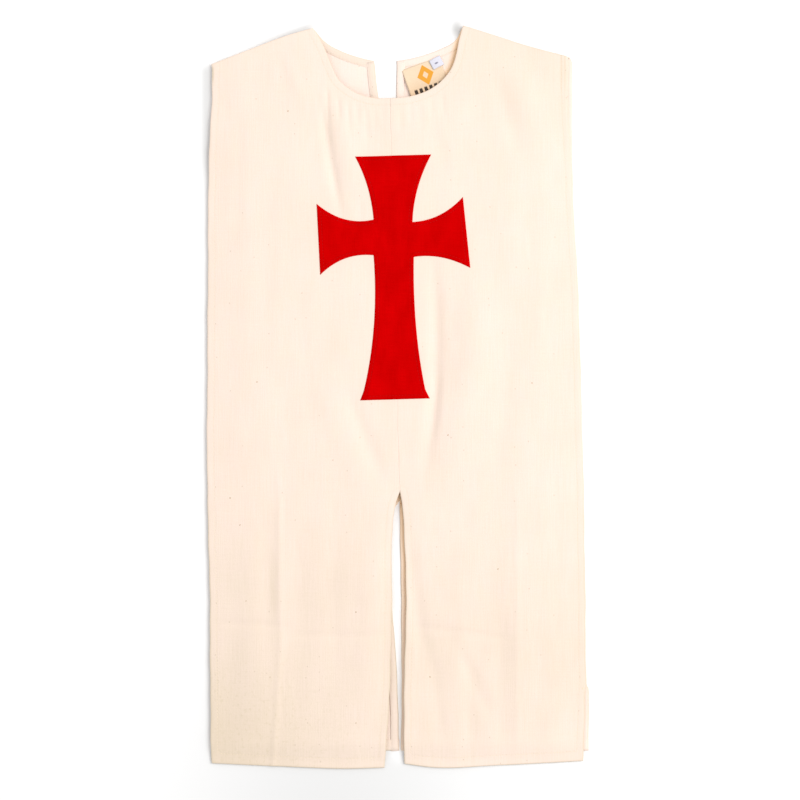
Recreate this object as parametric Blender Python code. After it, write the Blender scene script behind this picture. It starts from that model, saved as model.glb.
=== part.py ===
"""A child's medieval surcoat, laid flat and face up.

Two front and two back panels of cotton calico are seamed at the shoulders, sides and middle. A red cross is
sewn on the chest, and a label with a size tab lies inside the back neck. The neck points to +Y, and the back
lies on the floor at z = 0. Left and right are as seen looking down on the front.

Sizes are in millimetres until a point is placed. across runs to the right of the middle, and down runs from
the top of the right shoulder towards the foot.
"""

import math
from collections import namedtuple

import bmesh
import bpy
import numpy as np

MM = 0.001

# The cloth and its edges
LENGTH = 744.5
CLOTH = 1.2
HEM_WALL = 2.0
CROSS_WALL = 1.0
LABEL_WALL = 1.0
GAP = 0.3
HEM = 8.0
HEM_STEP = 2.0
FOOT_HEM = 10.0

# How the laid front rises over the back: at its sewn edges, over its body, and where it drops to the floor
SEAM_LEVEL = HEM_WALL + GAP + HEM_WALL
BODY_LEVEL = 6.2
FLOOR_LEVEL = HEM_WALL
EDGE_ROLL = 26.0
BACK_FOOT = 726.5
FOOT_DROP_START = 1.5
FOOT_DROP = 11.0

# How closely the panels are divided
FRONT_COLUMN = 11.0
FRONT_ROW = 26.0
BACK_COLUMN = 15.0
BACK_ROW = 48.0
HEM_LINES = 2
FOLD_POINTS = 24
EDGE_POINTS = 60
SHARP_DEGREES = 40.0

# The garment from side to side at each level: the outer edges, and the edges of the left and right halves
# where they meet at the middle or stand apart at a slit
Section = namedtuple("Section", "down left_edge left_middle right_middle right_edge")
FRONT_SECTIONS = (
    Section(0.0, -187.0, -9.5, -9.5, 170.5),
    Section(73.0, -186.0, -8.0, -8.0, 170.5),
    Section(125.0, -189.5, -6.7, -6.7, 173.0),
    Section(200.0, -190.2, -4.9, -4.9, 176.8),
    Section(275.0, -190.5, -3.1, -3.1, 181.0),
    Section(425.0, -191.4, 0.5, 0.5, 185.0),
    Section(466.5, -191.0, 1.5, 1.5, 186.0),
    Section(478.0, -190.8, -2.2, 4.0, 186.2),
    Section(495.0, -190.3, -5.0, 5.5, 186.5),
    Section(535.0, -189.3, -6.5, 7.5, 187.0),
    Section(575.0, -188.5, -6.0, 8.0, 187.5),
    Section(615.0, -188.2, -6.5, 7.5, 187.8),
    Section(662.5, -188.0, -8.0, 6.3, 188.5),
    Section(668.0, -188.0, -8.4, 6.2, 187.2),
    Section(715.0, -187.6, -11.2, 6.5, 186.2),
    Section(745.0, -186.5, -13.5, 7.0, 185.5),
)
BACK_SECTIONS = (
    Section(0.0, -187.0, -27.0, -1.5, 174.0),
    Section(45.0, -186.3, -23.0, -1.5, 174.6),
    Section(72.0, -186.0, -19.5, -1.5, 174.8),
    Section(125.0, -189.5, -13.0, -3.4, 174.6),
    Section(165.0, -190.0, -5.8, -5.8, 175.4),
    Section(275.0, -190.5, -3.1, -3.1, 181.0),
    Section(425.0, -191.4, 0.5, 0.5, 185.0),
    Section(480.0, -190.7, 1.8, 1.8, 186.2),
    Section(492.0, -190.4, -5.5, 1.6, 186.4),
    Section(519.0, -189.7, -8.0, 2.3, 186.8),
    Section(575.0, -188.5, -7.0, 3.0, 187.5),
    Section(600.0, -188.3, -4.5, 3.0, 187.7),
    Section(635.0, -188.1, -1.5, 3.2, 188.1),
    Section(662.5, -188.0, -0.8, 2.9, 188.5),
    Section(664.0, -188.0, -0.7, 2.9, 191.4),
    Section(727.0, -187.3, 1.3, 2.5, 191.2),
)
FRONT_SLIT_TOP = 466.5
BACK_NECK_SLIT_END = 165.0
BACK_SLIT_TOP = 480.0
SLIT_CORNER = 12.0
VENT_TOP = 662.5
VENT_STEP = 664.0
VENT_CORNER = 6.0

# The shoulders, necklines and feet, each from the outer edge to the middle
Point = namedtuple("Point", "across down")
LEFT_SHOULDER = (Point(-187.0, 39.0), Point(-150.0, 24.6), Point(-108.0, 9.0), Point(-85.0, 2.5))
RIGHT_FRONT_SHOULDER = (Point(170.5, 31.5), Point(128.0, 20.0), Point(97.0, 10.0), Point(65.0, 0.0))
RIGHT_BACK_SHOULDER = (Point(174.2, 32.3), Point(128.0, 20.6), Point(97.0, 10.6), Point(65.0, 0.6))
FRONT_LEFT_NECK = (
    Point(-85.0, 2.5),
    Point(-75.0, 20.0),
    Point(-66.0, 42.0),
    Point(-60.0, 54.0),
    Point(-50.0, 63.0),
    Point(-38.0, 69.5),
    Point(-24.0, 72.8),
    Point(-8.0, 73.0),
)
FRONT_RIGHT_NECK = (
    Point(65.0, 0.0),
    Point(61.0, 15.0),
    Point(58.0, 30.0),
    Point(54.0, 42.0),
    Point(47.0, 52.0),
    Point(37.0, 61.0),
    Point(22.0, 68.5),
    Point(7.0, 72.0),
    Point(-8.0, 73.0),
)
BACK_LEFT_NECK = (
    Point(-85.0, 2.5),
    Point(-73.0, 16.0),
    Point(-53.0, 26.8),
    Point(-38.0, 31.8),
    Point(-24.2, 35.0),
)
BACK_RIGHT_NECK = (
    Point(65.0, 0.6),
    Point(58.0, 14.0),
    Point(42.0, 23.2),
    Point(27.0, 28.8),
    Point(12.0, 32.8),
    Point(-1.5, 35.0),
)
FRONT_LEFT_FOOT = (Point(-186.5, 739.0), Point(-110.0, 742.5), Point(-53.0, 744.5), Point(-13.5, 743.5))
FRONT_RIGHT_FOOT = (Point(185.5, 736.7), Point(102.0, 741.0), Point(32.0, 743.0), Point(7.0, 739.5))
BACK_LEFT_FOOT = (Point(-187.3, 726.5), Point(-90.0, 727.0), Point(1.3, 726.5))
BACK_RIGHT_FOOT = (Point(191.2, 726.5), Point(90.0, 727.0), Point(2.5, 726.5))

# The largest folds of the laid front: soft ridges (rise above nought) and troughs (below), each along a bent
# line from its start, past its bend, to its end
Fold = namedtuple("Fold", "rise half_width start bend end")
FOLDS = (
    # The long fold from the cross's right arm to the slit, and the swell beside it
    Fold(-1.7, 12.0, Point(37.0, 235.0), Point(44.0, 345.0), Point(25.0, 452.0)),
    Fold(2.8, 24.0, Point(72.0, 250.0), Point(84.0, 340.0), Point(45.0, 462.0)),
    # Its shorter twin on the left
    Fold(-1.4, 11.0, Point(-42.0, 372.0), Point(-24.0, 405.0), Point(-7.0, 450.0)),
    Fold(1.6, 16.0, Point(-70.0, 345.0), Point(-50.0, 410.0), Point(-22.0, 462.0)),
    # From the neck down to the cross's left arm
    Fold(-1.8, 9.0, Point(-74.0, 86.0), Point(-68.0, 130.0), Point(-57.0, 184.0)),
    Fold(1.5, 12.0, Point(-58.0, 84.0), Point(-52.0, 125.0), Point(-44.0, 165.0)),
    # From the right shoulder across the chest
    Fold(-1.3, 13.0, Point(98.0, 44.0), Point(110.0, 85.0), Point(124.0, 135.0)),
    Fold(1.4, 16.0, Point(120.0, 48.0), Point(136.0, 90.0), Point(146.0, 140.0)),
    # Beside the slit, where the right edge stands up and the left one lies low
    Fold(2.6, 13.0, Point(6.0, 470.0), Point(8.5, 600.0), Point(6.5, 790.0)),
    Fold(-1.4, 9.0, Point(17.0, 505.0), Point(22.0, 560.0), Point(31.0, 622.0)),
    Fold(-1.6, 9.0, Point(-7.0, 480.0), Point(-8.0, 590.0), Point(-12.0, 720.0)),
    Fold(1.0, 12.0, Point(-26.0, 500.0), Point(-30.0, 590.0), Point(-34.0, 700.0)),
    # Long shallow waves in the skirt
    Fold(-1.1, 12.0, Point(-172.0, 590.0), Point(-170.0, 660.0), Point(-174.0, 745.0)),
    Fold(1.2, 16.0, Point(-136.0, 560.0), Point(-134.0, 650.0), Point(-138.0, 740.0)),
    Fold(-1.0, 12.0, Point(-98.0, 480.0), Point(-97.0, 600.0), Point(-100.0, 735.0)),
    Fold(1.2, 18.0, Point(118.0, 500.0), Point(119.0, 600.0), Point(117.0, 735.0)),
)

# The cross: its flanks clockwise from the top arm, each with its inner corner, the middle of its curve and
# its tip
Flank = namedtuple("Flank", "inner middle tip")
CROSS_FLANKS = (
    Flank(Point(14.5, 197.0), Point(19.9, 163.0), Point(31.8, 129.8)),
    Flank(Point(14.5, 197.0), Point(41.5, 190.0), Point(63.6, 172.1)),
    Flank(Point(15.8, 232.0), Point(43.5, 232.4), Point(71.3, 242.7)),
    Flank(Point(15.8, 232.0), Point(19.2, 305.0), Point(31.8, 373.4)),
    Flank(Point(-24.4, 230.2), Point(-24.8, 304.0), Point(-37.3, 375.4)),
    Flank(Point(-24.4, 230.2), Point(-53.0, 233.6), Point(-76.6, 249.8)),
    Flank(Point(-24.4, 194.5), Point(-53.5, 194.2), Point(-80.5, 179.0)),
    Flank(Point(-24.4, 194.5), Point(-30.1, 161.5), Point(-41.7, 132.0)),
)
CROSS_TOP_MIDDLE = Point(-3.4, 129.3)
FLANK_STEPS = 8
CUTTER_TOP = 20.0

# The label and its tab: the middle of each, its sides, and its turn to the left
Patch = namedtuple("Patch", "across down width height turn_degrees")
LABEL = Patch(30.2, 59.3, 40.0, 46.0, 20.0)
SIZE_TAB = Patch(38.6, 36.9, 12.0, 10.0, 28.0)
PATCH_CORNER = 1.0

Finish = namedtuple("Finish", "colour roughness")
CALICO = Finish((0.96, 0.86, 0.73), 0.9)
RED_CLOTH = Finish((0.62, 0.003, 0.003), 0.85)
LABEL_CREAM = Finish((0.93, 0.87, 0.76), 0.7)
TAB_WHITE = Finish((0.86, 0.86, 0.92), 0.7)

Panel = namedtuple("Panel", "half sections shoulder neck foot marks column_step row_step")


def clear_scene():
    for thing in list(bpy.data.objects):
        bpy.data.objects.remove(thing)


def smooth_step(share):
    share = np.clip(share, 0.0, 1.0)
    return share * share * (3.0 - 2.0 * share)


def lengths_along(line):
    return np.concatenate([[0.0], np.cumsum(np.linalg.norm(np.diff(line, axis=0), axis=1))])


def curve_through(points, places):
    """The points at these lengths along a smooth curve through a few given ones."""
    line = np.array(points, float)
    run = lengths_along(line)
    slopes = np.gradient(line, run, axis=0)
    piece = np.clip(np.searchsorted(run, places, side="right") - 1, 0, len(run) - 2)
    span = (run[piece + 1] - run[piece])[:, None]
    share = ((places - run[piece])[:, None]) / span
    start, end = line[piece], line[piece + 1]
    start_slope, end_slope = slopes[piece] * span, slopes[piece + 1] * span
    return (
        (2 * share**3 - 3 * share**2 + 1) * start
        + (share**3 - 2 * share**2 + share) * start_slope
        + (3 * share**2 - 2 * share**3) * end
        + (share**3 - share**2) * end_slope
    )


def edge_line(sections, edge, levels):
    """One edge of the garment at these levels, as points."""
    downs = [section.down for section in sections]
    across = [getattr(section, edge) for section in sections]
    return np.column_stack([np.interp(levels, downs, across), levels])


def divided(breaks, step):
    """Places from break to break, evenly spaced between two breaks and about step apart at most."""
    places = [breaks[0]]
    for start, end in zip(breaks, breaks[1:]):
        count = max(1, math.ceil((end - start) / step))
        places += [start + (end - start) * number / count for number in range(1, count + 1)]
    return np.array(places)


def distance_to(points, line):
    """How far each point lies from a line of straight runs."""
    starts, runs = line[:-1], np.diff(line, axis=0)
    offsets = points[:, None, :] - starts[None]
    shares = np.clip((offsets * runs).sum(2) / (runs**2).sum(1), 0.0, 1.0)
    return np.linalg.norm(offsets - shares[..., None] * runs, axis=2).min(1)


def fold_height(points, fold):
    """How much one fold lifts or lowers the cloth, dying away to its sides and its ends."""
    share = np.linspace(0.0, 1.0, FOLD_POINTS)[:, None]
    start, bend, end = (np.array(place) for place in (fold.start, fold.bend, fold.end))
    line = (1 - share) ** 2 * start + 2 * share * (1 - share) * bend + share**2 * end
    gaps = np.linalg.norm(points[:, None, :] - line[None], axis=2)
    nearest = gaps.argmin(1)
    across = distance_to(points, line)
    along = np.sin(np.pi * np.clip(nearest / (FOLD_POINTS - 1), 0.0, 1.0)) ** 0.5
    return fold.rise * along * np.exp(-((across / fold.half_width) ** 2))


def sewn_line(shoulder, edge):
    """Where one half of the front is sewn to the back: along the shoulder and down the side."""
    levels = np.linspace(shoulder[0].down, LENGTH, EDGE_POINTS)
    return np.vstack([np.array(shoulder[:0:-1], float), edge_line(FRONT_SECTIONS, edge, levels)])


def front_level(grid):
    """The height of the front's outer face at a grid of points."""
    points = grid.reshape(-1, 2)
    left, right = sewn_line(LEFT_SHOULDER, "left_edge"), sewn_line(RIGHT_FRONT_SHOULDER, "right_edge")
    from_sewn = np.minimum(distance_to(points, left), distance_to(points, right))
    fade = smooth_step(from_sewn / EDGE_ROLL)
    level = SEAM_LEVEL + (BODY_LEVEL - SEAM_LEVEL) * fade
    drop = smooth_step((points[:, 1] - BACK_FOOT - FOOT_DROP_START) / FOOT_DROP)
    lowest = SEAM_LEVEL + (FLOOR_LEVEL - SEAM_LEVEL) * drop
    folds = sum(fold_height(points, fold) for fold in FOLDS)
    level = level + (FLOOR_LEVEL - level) * drop + fade * folds
    return np.maximum(lowest, level).reshape(grid.shape[:2])


def panel_columns(panel):
    """A panel's columns: their points along the shoulder and neck and along the foot, and their shares of it."""
    shoulder_length, neck_length, foot_length = (
        lengths_along(np.array(line, float))[-1] for line in (panel.shoulder, panel.neck, panel.foot)
    )
    hem_end = HEM + HEM_STEP
    along_shoulder = divided((0.0, HEM, hem_end, shoulder_length), panel.column_step)
    along_neck = divided((0.0, neck_length - hem_end, neck_length - HEM, neck_length), panel.column_step)
    top = np.vstack([
        curve_through(panel.shoulder, along_shoulder),
        curve_through(panel.neck, along_neck)[1:],
    ])
    inner = np.linspace(hem_end, foot_length - hem_end, len(top) - 4)
    along_foot = np.concatenate([[0.0, HEM], inner, [foot_length - HEM, foot_length]])
    return top, curve_through(panel.foot, along_foot), along_foot / foot_length


def panel_points(panel, clearance):
    """A panel's points, [column, row] from the left and from the neck, kept clear of its twin's.

    They are stretched between its four edges: shoulder and neck, foot, side, and middle.
    """
    top, foot, shares = panel_columns(panel)
    length = foot[-1, 1] - top[-1, 1]
    marks = [mark - top[-1, 1] for mark in panel.marks]
    breaks = (0.0, HEM, HEM + HEM_STEP, *marks, length - FOOT_HEM - HEM_STEP, length - FOOT_HEM, length)
    rows = divided(breaks, panel.row_step) / length
    side = edge_line(panel.sections, panel.half + "_edge", top[0, 1] + (foot[0, 1] - top[0, 1]) * rows)
    middle = edge_line(panel.sections, panel.half + "_middle", top[-1, 1] + length * rows)
    side[0], side[-1], middle[0], middle[-1] = top[0], foot[0], top[-1], foot[-1]
    u, v = shares[:, None, None], rows[None, :, None]
    corners = (1 - v) * ((1 - u) * top[0] + u * top[-1]) + v * ((1 - u) * foot[0] + u * foot[-1])
    points = (1 - v) * top[:, None] + v * foot[:, None] + (1 - u) * side[None] + u * middle[None] - corners
    if panel.half == "left":
        points[-1, :, 0] -= clearance
        return points
    points[-1, :, 0] += clearance
    return points[::-1]


def wall_levels(points):
    """The cloth's thickness over a panel: doubled in the turned hems and seam allowances at its edges."""
    columns, rows = points.shape[:2]
    column = np.arange(columns)[:, None]
    row = np.arange(rows)[None, :]
    ring = np.minimum(np.minimum(column, columns - 1 - column), np.minimum(row, rows - 1 - row))
    return np.where(ring < HEM_LINES, HEM_WALL, CLOTH)


def to_metres(points, level):
    """Places in the frame from points in millimetres across and down, and their heights."""
    flat = points.reshape(-1, 2)
    place = np.column_stack([flat[:, 0], LENGTH / 2 - flat[:, 1], np.ravel(level)])
    return (place * MM).reshape(*points.shape[:-1], 3)


def wall_between(name, upper, lower):
    """A closed wall whose two faces are grids of points, each square split along the same diagonal."""
    columns, rows = upper.shape[:2]
    mesh = bmesh.new()
    bmesh.ops.create_grid(mesh, x_segments=columns - 1, y_segments=rows - 1, size=0.5)
    column = mesh.verts.layers.int.new("column")
    row = mesh.verts.layers.int.new("row")
    for vert in mesh.verts:
        vert[column] = round((vert.co.x + 0.5) * (columns - 1))
        vert[row] = round((vert.co.y + 0.5) * (rows - 1))
    raised = bmesh.ops.extrude_face_region(mesh, geom=mesh.faces[:], use_keep_orig=True)
    outer = {thing for thing in raised["geom"] if isinstance(thing, bmesh.types.BMVert)}
    for vert in mesh.verts:
        face = upper if vert in outer else lower
        vert.co = face[vert[column], vert[row]]
    for square in mesh.faces[:]:
        corners = sorted(square.verts, key=lambda vert: vert[column] + vert[row])
        first, last = corners[0], corners[-1]
        if first[column] < last[column] and first[row] < last[row]:
            bmesh.utils.face_split(square, first, last)
    return finished(name, mesh)


def finished(name, mesh):
    bmesh.ops.recalc_face_normals(mesh, faces=mesh.faces[:])
    data = bpy.data.meshes.new(name)
    mesh.to_mesh(data)
    mesh.free()
    thing = bpy.data.objects.new(name, data)
    bpy.context.scene.collection.objects.link(thing)
    data.shade_smooth()
    data.set_sharp_from_angle(angle=math.radians(SHARP_DEGREES))
    return thing


def give_material(thing, finish):
    material = bpy.data.materials.new(thing.name + "_cloth")
    material.use_nodes = True
    shader = material.node_tree.nodes["Principled BSDF"]
    shader.inputs["Base Color"].default_value = (*finish.colour, 1.0)
    shader.inputs["Roughness"].default_value = finish.roughness
    shader.inputs["Metallic"].default_value = 0.0
    thing.data.materials.append(material)


def front_panel(half):
    left = half == "left"
    return Panel(
        half=half,
        sections=FRONT_SECTIONS,
        shoulder=LEFT_SHOULDER if left else RIGHT_FRONT_SHOULDER,
        neck=FRONT_LEFT_NECK if left else FRONT_RIGHT_NECK,
        foot=FRONT_LEFT_FOOT if left else FRONT_RIGHT_FOOT,
        marks=(FRONT_SLIT_TOP, FRONT_SLIT_TOP + SLIT_CORNER, VENT_TOP, VENT_TOP + VENT_CORNER),
        column_step=FRONT_COLUMN,
        row_step=FRONT_ROW,
    )


def back_panel(half):
    left = half == "left"
    return Panel(
        half=half,
        sections=BACK_SECTIONS,
        shoulder=LEFT_SHOULDER if left else RIGHT_BACK_SHOULDER,
        neck=BACK_LEFT_NECK if left else BACK_RIGHT_NECK,
        foot=BACK_LEFT_FOOT if left else BACK_RIGHT_FOOT,
        marks=(BACK_NECK_SLIT_END, BACK_SLIT_TOP, BACK_SLIT_TOP + SLIT_CORNER, VENT_TOP, VENT_STEP),
        column_step=BACK_COLUMN,
        row_step=BACK_ROW,
    )


def make_front(half):
    """Half of the front: its outer face follows the folds, and its hems are turned to the inside."""
    points = panel_points(front_panel(half), GAP / 2)
    level = front_level(points)
    under = level - wall_levels(points)
    thing = wall_between("front_" + half, to_metres(points, level), to_metres(points, under))
    give_material(thing, CALICO)


def make_back(half):
    """Half of the back: its outer face lies flat on the floor, and its hems are raised on the inside."""
    points = panel_points(back_panel(half), GAP / 2)
    wall = wall_levels(points)
    thing = wall_between("back_" + half, to_metres(points, wall), to_metres(points, np.zeros_like(wall)))
    give_material(thing, CALICO)


def cross_outline():
    """The cross's edge, clockwise from its top right tip: in along one flank and out along the next."""
    share = np.linspace(0.0, 1.0, FLANK_STEPS + 1)[:, None]
    line = []
    for number, flank in enumerate(CROSS_FLANKS):
        inner, middle, tip = (np.array(place) for place in flank)
        bend = 2 * middle - (inner + tip) / 2
        curve = (1 - share) ** 2 * inner + 2 * share * (1 - share) * bend + share**2 * tip
        line.append(curve[::-1] if number % 2 == 0 else curve[1:])
    return np.vstack([*line, [CROSS_TOP_MIDDLE]])


def patch_outline(patch):
    """A patch's edge, clockwise from its left side, with its corners eased and turned to the left."""
    x, y, ease = patch.width / 2, patch.height / 2, PATCH_CORNER
    edge = np.array([
        (-x, ease - y),
        (ease - x, -y),
        (x - ease, -y),
        (x, ease - y),
        (x, y - ease),
        (x - ease, y),
        (ease - x, y),
        (-x, y - ease),
    ])
    turn = math.radians(patch.turn_degrees)
    along = np.array([math.cos(turn), -math.sin(turn)])
    below = np.array([math.sin(turn), math.cos(turn)])
    return np.array([patch.across, patch.down]) + edge[:, :1] * along + edge[:, 1:] * below


def make_cutter(name, outline):
    """A tall prism of a piece's outline. It cuts the piece and isn't one itself."""
    mesh = bmesh.new()
    face = mesh.faces.new([mesh.verts.new(place) for place in to_metres(outline, np.zeros(len(outline)))])
    raised = bmesh.ops.extrude_face_region(mesh, geom=[face])
    top = [thing for thing in raised["geom"] if isinstance(thing, bmesh.types.BMVert)]
    bmesh.ops.translate(mesh, verts=top, vec=(0.0, 0.0, CUTTER_TOP * MM))
    cutter = finished(name, mesh)
    cutter.hide_render = True
    cutter.display_type = "WIRE"
    return cutter


def lay_on(name, points, level, outline, wall):
    """A piece of cloth laid on a panel: the panel's own points, moved out, and cut to an outline."""
    reach = [np.abs(np.diff(points, axis=axis)).max() for axis in (0, 1)]
    near = ((points > outline.min(0) - reach) & (points < outline.max(0) + reach)).all(2)
    columns, rows = np.flatnonzero(near.any(1)), np.flatnonzero(near.any(0))
    points = points[columns][:, rows]
    level = level[columns][:, rows] + GAP
    thing = wall_between(name, to_metres(points, level + wall), to_metres(points, level))
    cut = thing.modifiers.new("cut", "BOOLEAN")
    cut.operation = "INTERSECT"
    cut.object = make_cutter(name + "_cutter", outline)
    return thing


def make_cross():
    """Red cloth on the chest, over the centre seam."""
    left, right = (panel_points(front_panel(half), 0.0) for half in ("left", "right"))
    chest = np.concatenate([left, right[1:]])
    thing = lay_on("cross", chest, front_level(chest), cross_outline(), CROSS_WALL)
    give_material(thing, RED_CLOTH)


def make_patch(name, patch, below, finish):
    """A woven patch inside the right back neck, laid over what is below it."""
    points = panel_points(back_panel("right"), GAP / 2)
    thing = lay_on(name, points, wall_levels(points) + below, patch_outline(patch), LABEL_WALL)
    give_material(thing, finish)


def main():
    clear_scene()
    for half in ("left", "right"):
        make_back(half)
        make_front(half)
    make_cross()
    make_patch("label", LABEL, 0.0, LABEL_CREAM)
    make_patch("size_tab", SIZE_TAB, GAP + LABEL_WALL, TAB_WHITE)


main()
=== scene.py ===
"""The looks of a child's medieval surcoat: calico panels, a red cross, a label and the sewing, laid flat."""

import math
from collections import namedtuple

import bmesh
import bpy
import numpy as np
from mathutils import Matrix, Vector


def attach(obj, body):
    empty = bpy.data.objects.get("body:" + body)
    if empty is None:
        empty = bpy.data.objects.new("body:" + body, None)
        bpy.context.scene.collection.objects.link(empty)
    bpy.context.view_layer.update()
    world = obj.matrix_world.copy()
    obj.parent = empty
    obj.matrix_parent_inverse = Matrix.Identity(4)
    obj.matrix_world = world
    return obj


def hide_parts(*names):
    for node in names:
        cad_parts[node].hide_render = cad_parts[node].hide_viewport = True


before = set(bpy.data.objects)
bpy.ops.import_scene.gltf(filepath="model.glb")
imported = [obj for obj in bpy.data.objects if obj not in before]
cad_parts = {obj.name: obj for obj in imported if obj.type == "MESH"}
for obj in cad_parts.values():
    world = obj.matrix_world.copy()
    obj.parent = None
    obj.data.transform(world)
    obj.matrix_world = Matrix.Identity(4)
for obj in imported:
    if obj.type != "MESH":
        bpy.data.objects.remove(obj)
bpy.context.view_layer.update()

# Back panels: two halves of undyed cotton calico, seamed down the middle between the neck slit and the skirt
# slit. Their outer faces lie on the ground, and their turned hems show inside the neck and at the slits.
MM = 0.001
LENGTH = 744.5
CALICO_WALL = 0.6
HEM_WIDTH = 8.0
FOOT_HEM_WIDTH = 11.5
STITCH_INSET = 1.2
SEAM_DROP = 0.35
CORNER_LAYER = 0.12
BACK_HEM_RISE = 0.42
GLOW_REACH = 7.0
RIM_WIDTH = 1.3
RIM_DROP = 0.4
RIM_PLACES = (0.0, 0.5, RIM_WIDTH)
LEAST_SEAM_PULL = 0.03
CURVE_STEP = 3.0
EDGE_POINTS = 180
BACK_CELL = 4.0

Point = namedtuple("Point", "across down")
Section = namedtuple("Section", "down left_edge left_middle right_middle right_edge")
BACK_SECTIONS = (
    Section(0.0, -187.0, -27.0, -1.5, 174.0),
    Section(45.0, -186.3, -23.0, -1.5, 174.6),
    Section(72.0, -186.0, -19.5, -1.5, 174.8),
    Section(125.0, -189.5, -13.0, -3.4, 174.6),
    Section(165.0, -190.0, -5.8, -5.8, 175.4),
    Section(275.0, -190.5, -3.1, -3.1, 181.0),
    Section(425.0, -191.4, 0.5, 0.5, 185.0),
    Section(476.0, -190.7, 1.8, 1.8, 186.2),
    Section(486.0, -190.5, -5.5, 1.6, 186.3),
    Section(519.0, -189.7, -8.0, 2.3, 186.8),
    Section(575.0, -188.5, -7.0, 3.0, 187.5),
    Section(600.0, -188.3, -4.5, 3.3, 187.7),
    Section(635.0, -188.1, -1.5, 3.8, 188.1),
    Section(662.5, -188.0, -0.8, 3.6, 188.5),
    Section(664.0, -188.0, -0.7, 3.6, 191.4),
    Section(727.0, -187.3, 1.3, 3.0, 191.2),
)
LEFT_SHOULDER = (Point(-187.0, 39.0), Point(-150.0, 24.6), Point(-108.0, 9.0), Point(-85.0, 2.5))
RIGHT_BACK_SHOULDER = (Point(172.2, 31.4), Point(128.0, 20.6), Point(97.0, 10.6), Point(65.0, 0.6))
BACK_LEFT_NECK = (
    Point(-85.0, 2.5),
    Point(-73.0, 16.0),
    Point(-53.0, 26.8),
    Point(-38.0, 31.8),
    Point(-24.2, 35.0),
)
BACK_RIGHT_NECK = (
    Point(65.0, 0.6),
    Point(58.0, 14.0),
    Point(42.0, 23.2),
    Point(27.0, 28.8),
    Point(12.0, 32.8),
    Point(-1.5, 35.0),
)
BACK_LEFT_FOOT = (Point(-187.3, 726.5), Point(-90.0, 727.0), Point(1.3, 726.5))
BACK_RIGHT_FOOT = (Point(191.2, 726.5), Point(90.0, 727.0), Point(3.0, 726.5))
FRONT_RIGHT_NECK = (
    Point(65.0, 0.0),
    Point(61.0, 15.0),
    Point(58.0, 30.0),
    Point(54.0, 42.0),
    Point(47.0, 52.0),
    Point(37.0, 61.0),
    Point(22.0, 68.5),
    Point(7.0, 72.0),
    Point(-8.0, 73.0),
)
FRONT_SLIT_EDGE = (
    Point(1.5, 466.5),
    Point(5.5, 495.0),
    Point(7.5, 535.0),
    Point(8.0, 575.0),
    Point(5.8, 662.5),
    Point(6.5, 745.0),
)
# The front's edges that light comes through onto the back: the right of the skirt slit and of the neck.
# Near them a warm glow is painted into the back's colour.
SHADED_EDGES = (FRONT_SLIT_EDGE, FRONT_RIGHT_NECK[:7])
BACK_NECK_SLIT_END = 165.0
BACK_SLIT_TOP = 476.0
VENT_TOP = 662.5
VENT_STEP = 664.0

Panel = namedtuple("Panel", "half sections shoulder neck foot slits marks cell")
Hem = namedtuple("Hem", "line width")

# The slight wander of a sewn edge, as waves
Wave = namedtuple("Wave", "size length start")
EDGE_WANDER = (Wave(0.22, 17.3, 0.0), Wave(0.16, 6.1, 1.3))

# Where the middle seam pulls in: below the neck, and above the top of the skirt slit
Pull = namedtuple("Pull", "strength down half_width")
SEAM_PULLS = (Pull(0.6, 82.0, 17.0), Pull(0.6, 434.0, 8.0), Pull(0.15, 455.0, 12.0))

# The rows of a turned hem, from its edge inwards: how far inside, as a share of its width and a length, and
# how deep the row sinks below the hem's face
HemRow = namedtuple("HemRow", "share inset sink")
HEM_ROWS = (
    HemRow(0.0, 0.3, 0.3),
    HemRow(0.0, 0.9, 0.0),
    HemRow(0.5, 0.0, 0.0),
    HemRow(1.0, -1.8, 0.0),
    HemRow(1.0, -STITCH_INSET, 0.12),
    HemRow(1.0, -0.5, 0.15),
    HemRow(1.0, 0.0, 0.5),
)


def smooth_step(share):
    share = np.clip(share, 0.0, 1.0)
    return share * share * (3.0 - 2.0 * share)


def lengths_along(line):
    return np.concatenate([[0.0], np.cumsum(np.linalg.norm(np.diff(line, axis=0), axis=1))])


def points_along(line, places):
    """The points at these lengths along a line of straight runs."""
    run = lengths_along(line)
    return np.column_stack([np.interp(places, run, line[:, axis]) for axis in (0, 1)])


def smooth_curve(points):
    """A smooth curve through a few given points, as closely spaced points."""
    line = np.array(points, float)
    run = lengths_along(line)
    places = np.linspace(0.0, run[-1], math.ceil(run[-1] / CURVE_STEP) + 1)
    slopes = np.gradient(line, run, axis=0)
    piece = np.clip(np.searchsorted(run, places, side="right") - 1, 0, len(run) - 2)
    span = (run[piece + 1] - run[piece])[:, None]
    share = (places - run[piece])[:, None] / span
    start, end = line[piece], line[piece + 1]
    start_slope, end_slope = slopes[piece] * span, slopes[piece + 1] * span
    return (
        (2 * share**3 - 3 * share**2 + 1) * start
        + (share**3 - 2 * share**2 + share) * start_slope
        + (3 * share**2 - 2 * share**3) * end
        + (share**3 - share**2) * end_slope
    )


def edge_line(sections, edge, levels):
    """One edge of the garment at these levels, as points that wander a little."""
    downs = [section.down for section in sections]
    across = np.interp(levels, downs, [getattr(section, edge) for section in sections])
    wander = sum(wave.size * np.sin(levels / wave.length + wave.start) for wave in EDGE_WANDER)
    return np.column_stack([across + wander, levels])


def distance_to(points, line):
    """How far each point lies from a line of straight runs."""
    nearest = np.full(len(points), np.inf)
    for start, run in zip(line[:-1], np.diff(line, axis=0)):
        offset = points - start
        share = np.clip(offset @ run / max(run @ run, 1e-9), 0.0, 1.0)
        nearest = np.minimum(nearest, np.linalg.norm(offset - share[:, None] * run, axis=1))
    return nearest


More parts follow.
